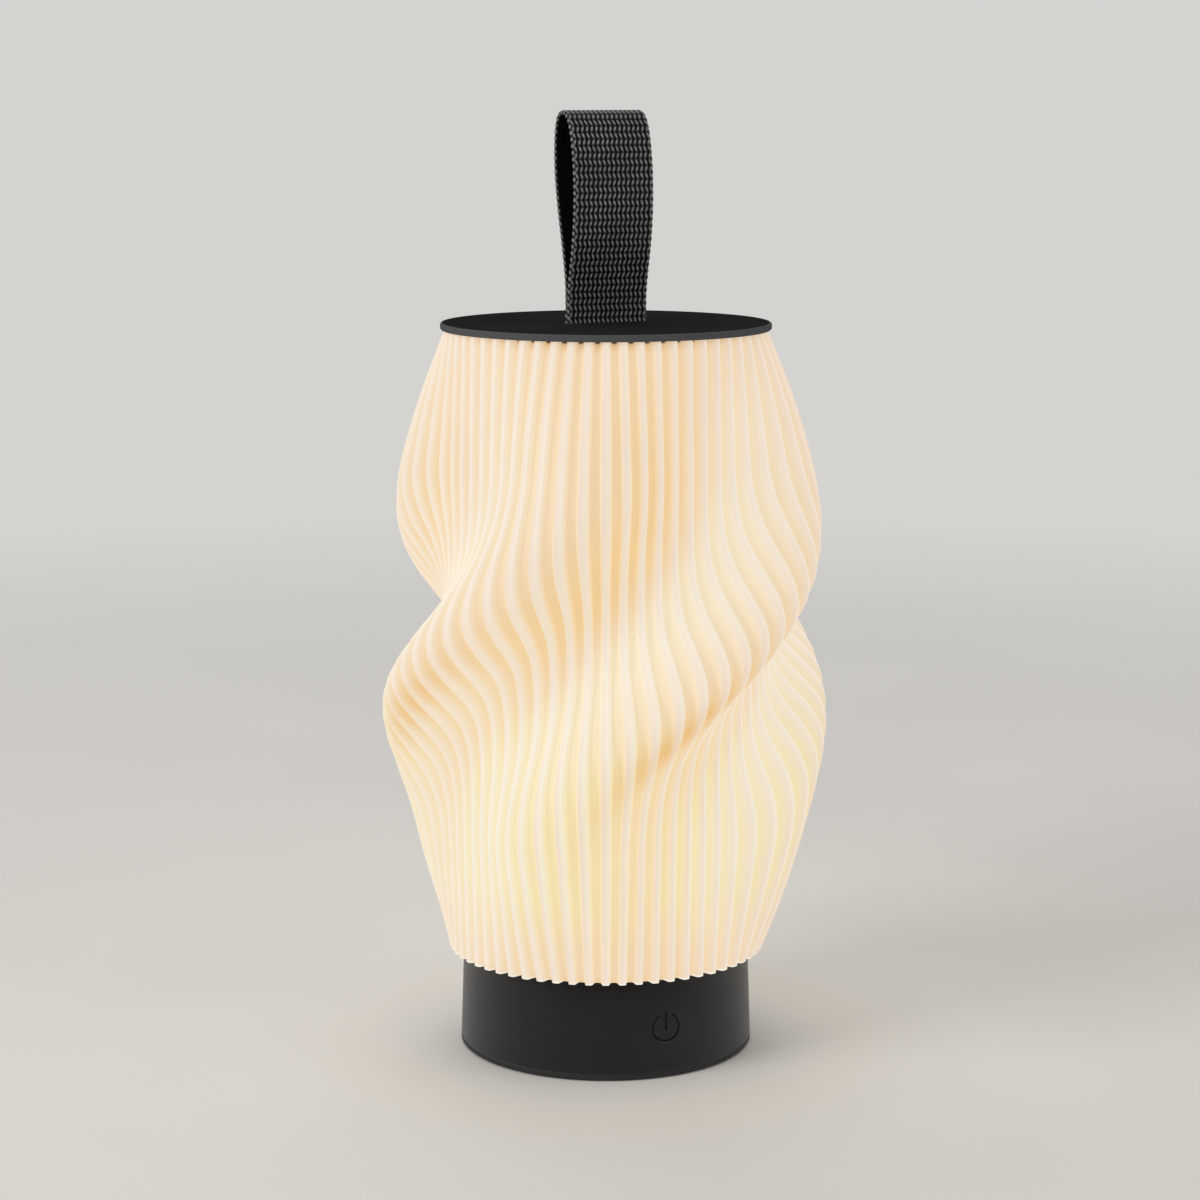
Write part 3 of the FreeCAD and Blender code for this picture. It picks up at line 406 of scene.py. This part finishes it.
def lid_look():
    """The lid's matt black, with a painted highlight that makes its rim paler than its top."""
    look = grained("lid_black", LID_DARK, LID_LIGHT, rough=0.85, shine=0.0)
    across, along, _ = look.axes()
    # Painted highlight on the lid's rounded rim.
    rim = look.band(look.length(across, along), LID_RIM_HIGHLIGHT_BAND, LID_RADIUS)
    look.drive("Base Color", look.mix(rim, look.driver("Base Color"), shown(LID_RIM_HIGHLIGHT)))
    return look


def inner(colour):
    """Light that has to come from inside for the surface to look this colour in the studio's light."""
    return tuple(max(0.0, light - room) for light, room in zip(shown(colour), ROOM_LIGHT))


def shade_look():
    """Plastic that the light inside shines through: pale ribs, and yellow to orange between them, with
    painted light and shade on the ribs, the lobes and both ends.
    """
    look = Look("glowing_shade")
    side = look.spread(look.attribute("side"), *SIDE_SPAN, smooth=True)
    flank = look.attribute("flank")
    depth = look.attribute("groove")
    groove = look.spread(depth, *GROOVE_SPAN, smooth=True)
    valley = look.math("POWER", depth, VALLEY_POWER)
    _, _, height = look.axes()
    look.drive("Base Color", look.ramp(groove, [(0.0, TIP_BODY), (1.0, GROOVE_BODY)]))

    # Painted light and shade across each rib: its tip darker on the left side and lighter on the right.
    tips = look.mix(side, inner(TIP_LEFT_SHADED), inner(TIP_RIGHT_LIT))
    colour = look.mix(groove, tips, inner(GROOVE))
    near_tips = look.mix(side, inner(TIP_LEFT_SHADED), inner(NEAR_TIP_RIGHT_LIT))
    near_colour = look.mix(groove, near_tips, inner(NEAR_GROOVE))
    rise = look.band(height, NEAR_RISE, smooth=True)
    fall = look.band(height, NEAR_FALL, smooth=True)
    colour = look.mix(look.math("MULTIPLY", rise, fall), colour, near_colour)

    # Painted light and shade on the lobes: a brighter glow on each left flank, a darker, warmer one on each
    # right flank.
    bright = look.mix(groove, inner(BRIGHT_TIP), inner(BRIGHT_GROOVE))
    colour = look.mix(look.spread(flank, *BRIGHT_SPAN, 0.0, BRIGHT_SHARE), colour, bright)
    shaded_flank_rise = look.band(height, SHADED_FLANK_RISE, smooth=True)
    shaded_flank_groove = look.mix(shaded_flank_rise, inner(SHADED_FLANK_GROOVE_LOW), inner(SHADED_FLANK_GROOVE_HIGH))
    shaded_flank = look.mix(groove, inner(SHADED_FLANK_TIP), shaded_flank_groove)
    colour = look.mix(look.spread(flank, *SHADED_FLANK_SPAN, 0.0, SHADED_FLANK_SHARE), colour, shaded_flank)
    # Painted shade in the crease beside each crest.
    crease_share = look.spread(groove, 0.0, 1.0, CREASE_TIP_SHARE, CREASE_GROOVE_SHARE)
    crease_shade = look.math("MULTIPLY", look.attribute("crease_shade"), crease_share)
    colour = look.mix(crease_shade, colour, inner(CREASE_SHADE))

    # Painted shade in the grooves at the lower edge, and a painted highlight on the tips there.
    foot_shade = look.band(height, FOOT_GROOVE_SHADE_BAND, SHADE_BOTTOM, FOOT_SHADE_SHARE)
    colour = look.mix(look.math("MULTIPLY", foot_shade, valley), colour, inner(FOOT_GROOVE_SHADE))
    edge = look.band(height, FOOT_TIP_HIGHLIGHT_BAND, SHADE_BOTTOM)
    tip = look.math("SUBTRACT", 1.0, valley)
    colour = look.mix(look.math("MULTIPLY", edge, tip), colour, inner(FOOT_TIP_HIGHLIGHT))
    # Painted shade in the grooves close under the lid, and a painted shadow of the lid in the gaps there.
    top = SHADE_BOTTOM + SHADE_HEIGHT
    head_shade = look.band(height, HEAD_GROOVE_SHADE_BAND, top, HEAD_SHADE_SHARE)
    colour = look.mix(look.math("MULTIPLY", head_shade, valley), colour, inner(HEAD_GROOVE_SHADE))
    gap_shadow = look.math("MULTIPLY", look.band(height, HEAD_GAP_SHADOW_BAND, top), look.spread(valley, *HEAD_GAP_SHADOW_SPAN))
    colour = look.mix(gap_shadow, colour, inner(HEAD_GAP_SHADOW))

    cloud = look.mottle(look.noise(scale=28.0, detail=3.0), CLOUD, CLEAR)
    look.drive("Emission Color", look.mix(1.0, colour, cloud, "MULTIPLY"))
    look.set(Emission_Strength=1.0, Roughness=0.5, Specular_IOR_Level=0.2)
    look.bump(look.noise(scale=700.0, detail=2.0), strength=0.05, distance=0.1 * MM)
    look.material.cycles.emission_sampling = "NONE"
    return look


def webbing_look():
    """Black woven nylon: a painted sheen on the raised yarns, and painted shade in the gaps between them."""
    look = Look("black_webbing")
    yarn = look.attribute("yarn")
    fibre = look.noise(scale=2600.0, detail=3.0)
    patches = look.noise(scale=120.0, detail=3.0)
    # Painted sheen on the raised yarns, and painted shade in the gaps.
    raised_sheen = look.mix(look.spread(fibre, 0.25, 0.75), shown(YARN_SHEEN_DARK), shown(YARN_SHEEN_LIGHT))
    dull = look.spread(patches, NOISE_LOW, NOISE_HIGH, 0.0, DULL_SHARE)
    raised_sheen = look.mix(dull, raised_sheen, shown(YARN_SHEEN_DULL))
    look.drive("Base Color", look.mix(look.spread(yarn, *YARN_SPAN), shown(YARN_GAP_SHADE), raised_sheen))
    look.drive("Roughness", look.spread(fibre, NOISE_LOW, NOISE_HIGH, 0.42, 0.6))
    look.set(Specular_IOR_Level=0.1)
    look.bump(fibre, strength=0.25, distance=0.1 * MM)
    return look


# Geometry


def mesh_piece(name, points, faces, attributes):
    """A smooth mesh with a number at each point for every attribute."""
    mesh = bpy.data.meshes.new(name)
    mesh.from_pydata(points.tolist(), [], faces)
    for key, values in attributes.items():
        made = mesh.attributes.new(key, "FLOAT", "POINT")
        made.data.foreach_set("value", np.asarray(values, np.float32))
    mesh.polygons.foreach_set("use_smooth", np.ones(len(mesh.polygons), bool))
    mesh.update()
    piece = bpy.data.objects.new(name, mesh)
    bpy.context.scene.collection.objects.link(piece)
    return piece


def ring_faces(rows, columns):
    """Quads between rows of points that each go once round."""
    faces = []
    for row in range(rows - 1):
        low = row * columns
        for column in range(columns):
            beside = (column + 1) % columns
            faces.append((low + column, low + beside, low + columns + beside, low + columns + column))
    return faces


def lobe_phase(angle, share):
    """Angle from the crest of the nearest lobe, in lobes, and how far the lobes stand out at this height."""
    above = (share - LOBE_PEAK) / (1 - LOBE_PEAK)
    below = (LOBE_PEAK - share) / LOBE_PEAK
    away = np.where(share > LOBE_PEAK, above, below)
    reach = np.clip((share - 0.5) * 2 * SHADE_HEIGHT / TWIST_SPAN, -1, 1)
    turned = TWIST_PHASE + TWIST_TURN * (1.5 * reach - 0.5 * reach**3) / 2
    phase = LOBES * (angle - np.radians(turned))
    return phase - LOBE_LEAN * np.sin(phase), 1 - away**2


def lobe(angle, share):
    """Share of the lobes' height at an angle, and at a share of the shade's height."""
    phase, weight = lobe_phase(angle, share)
    lowest = math.exp(-2 * LOBE_SHARPNESS)
    return weight * (np.exp(LOBE_SHARPNESS * (np.cos(phase) - 1)) - lowest) / (1 - lowest)


def tip_radius(angle, share):
    """Radius over the tips of the ribs."""
    return SHADE_RADIUS + SHADE_BARREL * 4 * share * (1 - share) + LOBE_HEIGHT * lobe(angle, share)


def rib_cut(across):
    """Share of the rib's depth that is cut away at a place across the pitch, with a round tip and valley."""
    away = np.abs(across)
    step = np.clip((away - FLANK_START) / (FLANK_END - FLANK_START), 0, 1)
    flank = step * step * (3 - 2 * step)
    return np.clip(flank + TIP_CROWN * (away / FLANK_START) ** 2 * (1 - flank), 0, 1)


def make_shade():
    """The fluted wall, up the outside and down the inside."""
    half = np.array(RIB_STEPS)
    pitch = np.concatenate([half, [0.5], 1 - half[:0:-1]])
    pitches = (np.arange(RIBS)[:, None] + pitch[None, :]).ravel()
    across = (pitches + 0.5) % 1.0 - 0.5
    angle = 2 * np.pi * pitches / RIBS
    columns = len(angle)

    levels = np.linspace(0, SHADE_HEIGHT, SHADE_ROWS)
    levels = np.concatenate([[0.0, EDGE_STEP_UP, EDGE_ROUND], levels[1:]])
    drawn_in = np.zeros(len(levels))
    drawn_in[:2] = EDGE_ROUND, EDGE_STEP_IN
    share = (levels / SHADE_HEIGHT)[:, None]
    cut = rib_cut(across)[None, :]
    tips = tip_radius(angle[None, :], share)
    outside = tips - RIB_DEPTH * cut - drawn_in[:, None]
    phase, weight = lobe_phase(angle[None, :], share)
    flank = np.sin(phase) * weight
    turn = (phase + np.pi) % (2 * np.pi) - np.pi
    # Where the painted shade of the crease lies, round the lobe and up the shade.
    crease_off = (turn - CREASE_PHASE) / CREASE_WIDTH
    crease_up = (share - CREASE_SHARE) / CREASE_SPREAD
    crease_shade = np.exp(-(crease_off**2) - crease_up**2)
    groove = np.broadcast_to(0.5 - 0.5 * np.cos(2 * np.pi * across), tips.shape)
    side = np.broadcast_to(np.sin(2 * np.pi * across), tips.shape)

    inside_levels = np.linspace(SHADE_HEIGHT, 0, INSIDE_ROWS)
    inside_share = (inside_levels / SHADE_HEIGHT)[:, None]
    inside = tip_radius(angle[None, :], inside_share) - RIB_DEPTH - SHADE_WALL

    radius = np.concatenate([outside, inside])
    height = SHADE_BOTTOM + np.concatenate([levels, inside_levels])[:, None]
    height = np.broadcast_to(height, radius.shape)
    points = np.stack([radius * np.sin(angle), -radius * np.cos(angle), height], axis=-1)
    rows = len(radius)
    faces = ring_faces(rows, columns)
    last = (rows - 1) * columns
    for column in range(columns):
        beside = (column + 1) % columns
        faces.append((last + column, last + beside, beside, column))
    flat = np.full(inside.shape, 0.5)
    none = np.zeros(inside.shape)
    attributes = {
        "groove": np.concatenate([groove, flat]).ravel(),
        "side": np.concatenate([side, none]).ravel(),
        "flank": np.concatenate([flank, none]).ravel(),
        "crease_shade": np.concatenate([crease_shade, none]).ravel(),
    }
    piece = mesh_piece("fluted_shade", points.reshape(-1, 3) * MM, faces, attributes)
    piece.data.materials.append(shade_look().material)
    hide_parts("shade")
    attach(piece, "lamp")


def smooth_line(corners, count):
    """Evenly spaced points on the quadratic B-spline of the corners, with directions and the way to each."""
    corners = np.array(corners, float)
    middles = (corners[1:] + corners[:-1]) / 2
    middles[0] = corners[0]
    middles[-1] = corners[-1]
    share = np.linspace(0, 1, LINE_STEPS, endpoint=False)[:, None]
    runs = []
    for start, corner, finish in zip(middles, corners[1:-1], middles[1:]):
        runs.append((1 - share) ** 2 * start + 2 * share * (1 - share) * corner + share**2 * finish)
    runs.append(middles[-1:])
    line = np.concatenate(runs)
    length = np.concatenate([[0], np.cumsum(np.linalg.norm(np.diff(line, axis=0), axis=1))])
    even = np.linspace(0, length[-1], count)
    spots = np.stack([np.interp(even, length, line[:, axis]) for axis in (0, 1)], axis=1)
    ahead = np.gradient(spots, axis=0)
    ahead /= np.linalg.norm(ahead, axis=1)[:, None]
    return spots, ahead, even


def strap_corners():
    """Middle line of the webbing: from the tail under the lid up the front, over, and down the rear."""

    def tail(sign):
        root = sign * STRAP_HALF_SPLIT
        bend = sign * (STRAP_HALF_SPLIT + TAIL_TURN)
        ends = [(sign * TAIL_END, TAIL_LEVEL), (bend, TAIL_LEVEL), (root, TAIL_LEVEL)]
        return ends + [(root, TAIL_LEVEL + TAIL_RISE), (root, STRAP_HINGE)]

    def leg(sign, bow, shares):
        return [
            (sign * (STRAP_HALF_SPLIT + bow * out), STRAP_HINGE + STRAP_REACH * up) for out, up in shares
        ]

    front = tail(-1) + leg(-1, STRAP_FRONT_BOW, STRAP_FRONT_SHARES)
    back = leg(1, STRAP_BACK_BOW, STRAP_BACK_SHARES) + tail(1)[::-1]
    return front + back


def weave(across, along):
    """Height of the yarns, 0 to 1: columns that zigzag from row to row and dip between the rows."""
    column = across / STRAP_WIDTH * WEAVE_COLUMNS
    row = along / WEAVE_ROW
    beside = column - np.floor(column) - 0.5
    through = row - np.floor(row) - 0.5
    lean = np.where(np.floor(row) % 2 == 0, 1.0, -1.0)
    off = beside - lean * WEAVE_SLANT * through * 2
    off = (off + 0.5) % 1.0 - 0.5
    ridge = np.exp(-((off / YARN_WIDTH) ** 2))
    return ridge * (1 - YARN_DIP + YARN_DIP * np.cos(np.pi * through))


def make_strap():
    """The webbing with its woven relief, from tail to tail."""
    corners = strap_corners()
    _, _, reach = smooth_line(corners, 2)
    rows = int(reach[-1] / WEAVE_ROW) * WEAVE_STEPS + 1
    spots, ahead, along = smooth_line(corners, rows)
    outwards = np.stack([-ahead[:, 1], ahead[:, 0]], axis=1)
    count = WEAVE_COLUMNS * WEAVE_STEPS + 1
    across = np.linspace(0, STRAP_WIDTH, count)
    edge = np.clip(np.minimum(across, STRAP_WIDTH - across) / HEM_WIDTH, 0, 1)
    slim = HEM_THICKNESS + (1 - HEM_THICKNESS) * np.sqrt(edge * (2 - edge))
    yarn = weave(across[None, :], along[:, None])
    back_yarn = weave(across[None, :], along[:, None] + WEAVE_ROW)
    beat = np.cos(2 * np.pi * along / WEAVE_ROW)[:, None]
    outer = np.where(edge < HEM_OUTER, np.sign(across - STRAP_WIDTH / 2), 0.0)
    x = (across - STRAP_WIDTH / 2)[None, :] + HEM_WAVE * beat * outer[None, :]

    def side(sign, height):
        lift = sign * (WEAVE_HALF + WEAVE_RELIEF * height) * slim[None, :]
        y = spots[:, :1] + outwards[:, :1] * lift
        z = spots[:, 1:] + outwards[:, 1:] * lift
        return np.stack([x, y, z], axis=-1)

    loop = np.concatenate([side(1, yarn), side(-1, back_yarn)[:, ::-1]], axis=1)
    # Painted highlights in beads along the hems, and painted shade inside the loop, go into the yarn
    # attribute with the painted sheen.
    hem = np.clip((HEM_GONE - edge) / (HEM_GONE - HEM_FULL), 0, 1)[None, :]
    bead_highlights = BEAD_HIGHLIGHT_LEVEL + BEAD_HIGHLIGHT_SWING * beat
    front_lit = yarn * (1 - hem) + bead_highlights * hem
    back_lit = INSIDE_SHEEN_SHARE * back_yarn * (1 - hem) + bead_highlights * hem
    lit = np.concatenate([front_lit, back_lit[:, ::-1]], axis=1)
    columns = loop.shape[1]
    faces = [face[::-1] for face in ring_faces(rows, columns)]
    last = (rows - 1) * columns
    for column in range(count - 1):
        other = columns - 1 - column
        faces.append((column, column + 1, other - 1, other))
        faces.append((last + other, last + other - 1, last + column + 1, last + column))
    piece = mesh_piece("webbing_loop", loop.reshape(-1, 3) * MM, faces, {"yarn": lit.ravel()})
    piece.data.materials.append(webbing_look().material)
    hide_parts("strap_loop", "strap_ends")
    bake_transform(piece)


def dress_solids():
    """Materials for the solids that show as they are."""
    base = base_look()
    lid = lid_look()
    cover = grained("cover_black", (44, 44, 45), (50, 50, 51), rough=0.55, shine=0.28)
    rubber = grained(
        "black_rubber", (40, 40, 41), (48, 48, 49), rough=0.75, shine=0.25, scale=500.0, bump=0.2
    )
    steel = brushed("screw_steel", (176, 176, 178), (200, 200, 202), rough=0.28)
    socket = brushed("socket_steel", (190, 190, 190), (214, 214, 214), rough=0.22)
    foil = brushed("copper_foil", (198, 140, 96), (222, 164, 116), rough=0.3)
    wrap = grained("cell_wrap", (58, 118, 168), (70, 132, 182), rough=0.3, shine=0.5, scale=300.0, bump=0.05)
    grey = grained("grey_plastic", (214, 212, 206), (226, 224, 218), rough=0.55, shine=0.4)
    board = grained(
        "circuit_board", (30, 112, 66), (40, 128, 76), rough=0.4, shine=0.5, scale=1200.0, bump=0.08
    )
    parts = grained("dark_components", (44, 44, 46), (56, 56, 58), rough=0.5, shine=0.4)
    lead = grained("lead_insulation", (170, 40, 36), (188, 52, 46), rough=0.45, shine=0.45)
    white = grained("light_board_white", (228, 228, 224), (238, 238, 234), rough=0.45, shine=0.4)
    phosphor = grained("phosphor", (240, 212, 110), (248, 224, 130), rough=0.5, shine=0.4)
    dome = grained("diffuser_white", (234, 232, 226), (244, 242, 238), rough=0.55, shine=0.4)
    looks = {
        base: ["base_housing"],
        lid: ["lid", "strap_clamp"],
        cover: ["bottom_cover"],
        rubber: ["port_cover", "foot_ring", "cover_gasket"],
        steel: [
            "cover_screws",
            "board_screws",
            "light_board_screws",
            "collar_screws",
            "lid_screws",
            "clamp_screws",
        ],
        socket: ["charging_socket"],
        foil: ["touch_pad"],
        wrap: ["battery_cell"],
        grey: ["battery_cradle", "shade_collar", "shade_top_ring"],
        board: ["main_board"],
        parts: ["board_parts"],
        lead: ["battery_leads", "touch_lead", "light_leads"],
        white: ["light_board"],
        phosphor: ["light_chips"],
        dome: ["light_diffuser"],
    }
    for look, names in looks.items():
        for name in names:
            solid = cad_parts[name]
            solid.data.materials.clear()
            solid.data.materials.append(look.material)


# Stage


def make_floor():
    """A round floor that fades into the background away from the lamp."""
    mesh = bpy.data.meshes.new("floor")
    turns = [2 * math.pi * corner / FLOOR_SIDES for corner in range(FLOOR_SIDES)]
    rim = [(FLOOR_REACH * math.cos(turn), FLOOR_REACH * math.sin(turn), 0) for turn in turns]
    mesh.from_pydata(rim, [], [tuple(range(FLOOR_SIDES))])
    floor = bpy.data.objects.new("floor", mesh)
    bpy.context.scene.collection.objects.link(floor)
    look = Look("pale_floor")
    look.drive("Base Color", look.mottle(look.noise(scale=6.0, detail=2.0), FLOOR_DARK, FLOOR_LIGHT))
    look.set(Roughness=0.8, Specular_IOR_Level=0.1)
    length = look.add("VectorMath")
    length.operation = "LENGTH"
    look.link(look.place(), length.inputs[0])
    fade = look.spread(length.outputs["Value"], *FLOOR_FADE, smooth=True)
    clear = look.add("BsdfTransparent")
    both = look.add("MixShader")
    look.link(fade, both.inputs["Fac"])
    look.link(look.surface.outputs["BSDF"], both.inputs[1])
    look.link(clear.outputs["BSDF"], both.inputs[2])
    look.link(both.outputs["Shader"], look.tree.nodes["Material Output"].inputs["Surface"])
    mesh.materials.append(look.material)


def make_world():
    """Even light from all round, with a background of its own for the camera and for reflections."""
    world = bpy.data.worlds.new("studio")
    bpy.context.scene.world = world
    world.use_nodes = True
    nodes = world.node_tree.nodes
    links = world.node_tree.links
    around = nodes["Background"]
    around.inputs["Color"].default_value = (*AROUND_TINT, 1.0)
    around.inputs["Strength"].default_value = AROUND_STRENGTH
    seen = nodes.new("ShaderNodeBackground")
    seen.inputs["Color"].default_value = (*BACKGROUND, 1.0)
    seen.inputs["Strength"].default_value = BACKGROUND_STRENGTH
    path = nodes.new("ShaderNodeLightPath")
    sight = path.outputs["Is Camera Ray"]
    for ray in ("Is Glossy Ray", "Is Transmission Ray"):
        either = nodes.new("ShaderNodeMath")
        either.operation = "MAXIMUM"
        links.new(sight, either.inputs[0])
        links.new(path.outputs[ray], either.inputs[1])
        sight = either.outputs[0]
    both = nodes.new("ShaderNodeMixShader")
    links.new(sight, both.inputs["Fac"])
    links.new(around.outputs[0], both.inputs[1])
    links.new(seen.outputs[0], both.inputs[2])
    links.new(both.outputs[0], nodes["World Output"].inputs["Surface"])


def make_lights():
    """Soft lights that aim at the middle of the lamp."""
    for name, (place, power, size) in LIGHTS.items():
        lamp = bpy.data.lights.new(name, "AREA")
        lamp.energy = power
        lamp.size = size
        lamp.color = LIGHT_TINT
        item = bpy.data.objects.new(name, lamp)
        bpy.context.scene.collection.objects.link(item)
        item.location = place
        aim = item.location.copy()
        aim.z -= LIGHT_AIM
        item.rotation_mode = "QUATERNION"
        item.rotation_quaternion = aim.to_track_quat("Z", "Y")


def make_camera():
    """The photograph's camera."""
    data = bpy.data.cameras.new("camera")
    data.sensor_width = CAMERA_SENSOR
    data.lens = CAMERA_LENS
    data.clip_start = CAMERA_NEAREST
    camera = bpy.data.objects.new("camera", data)
    bpy.context.scene.collection.objects.link(camera)
    camera.location = CAMERA_PLACE
    camera.rotation_euler = (math.radians(90 - CAMERA_DOWN), 0, math.radians(-CAMERA_HEADING))
    bpy.context.scene.camera = camera


make_camera()
make_world()
make_lights()
make_floor()
dress_solids()
make_shade()
make_strap()
bpy.context.scene.view_settings.view_transform = "Standard"
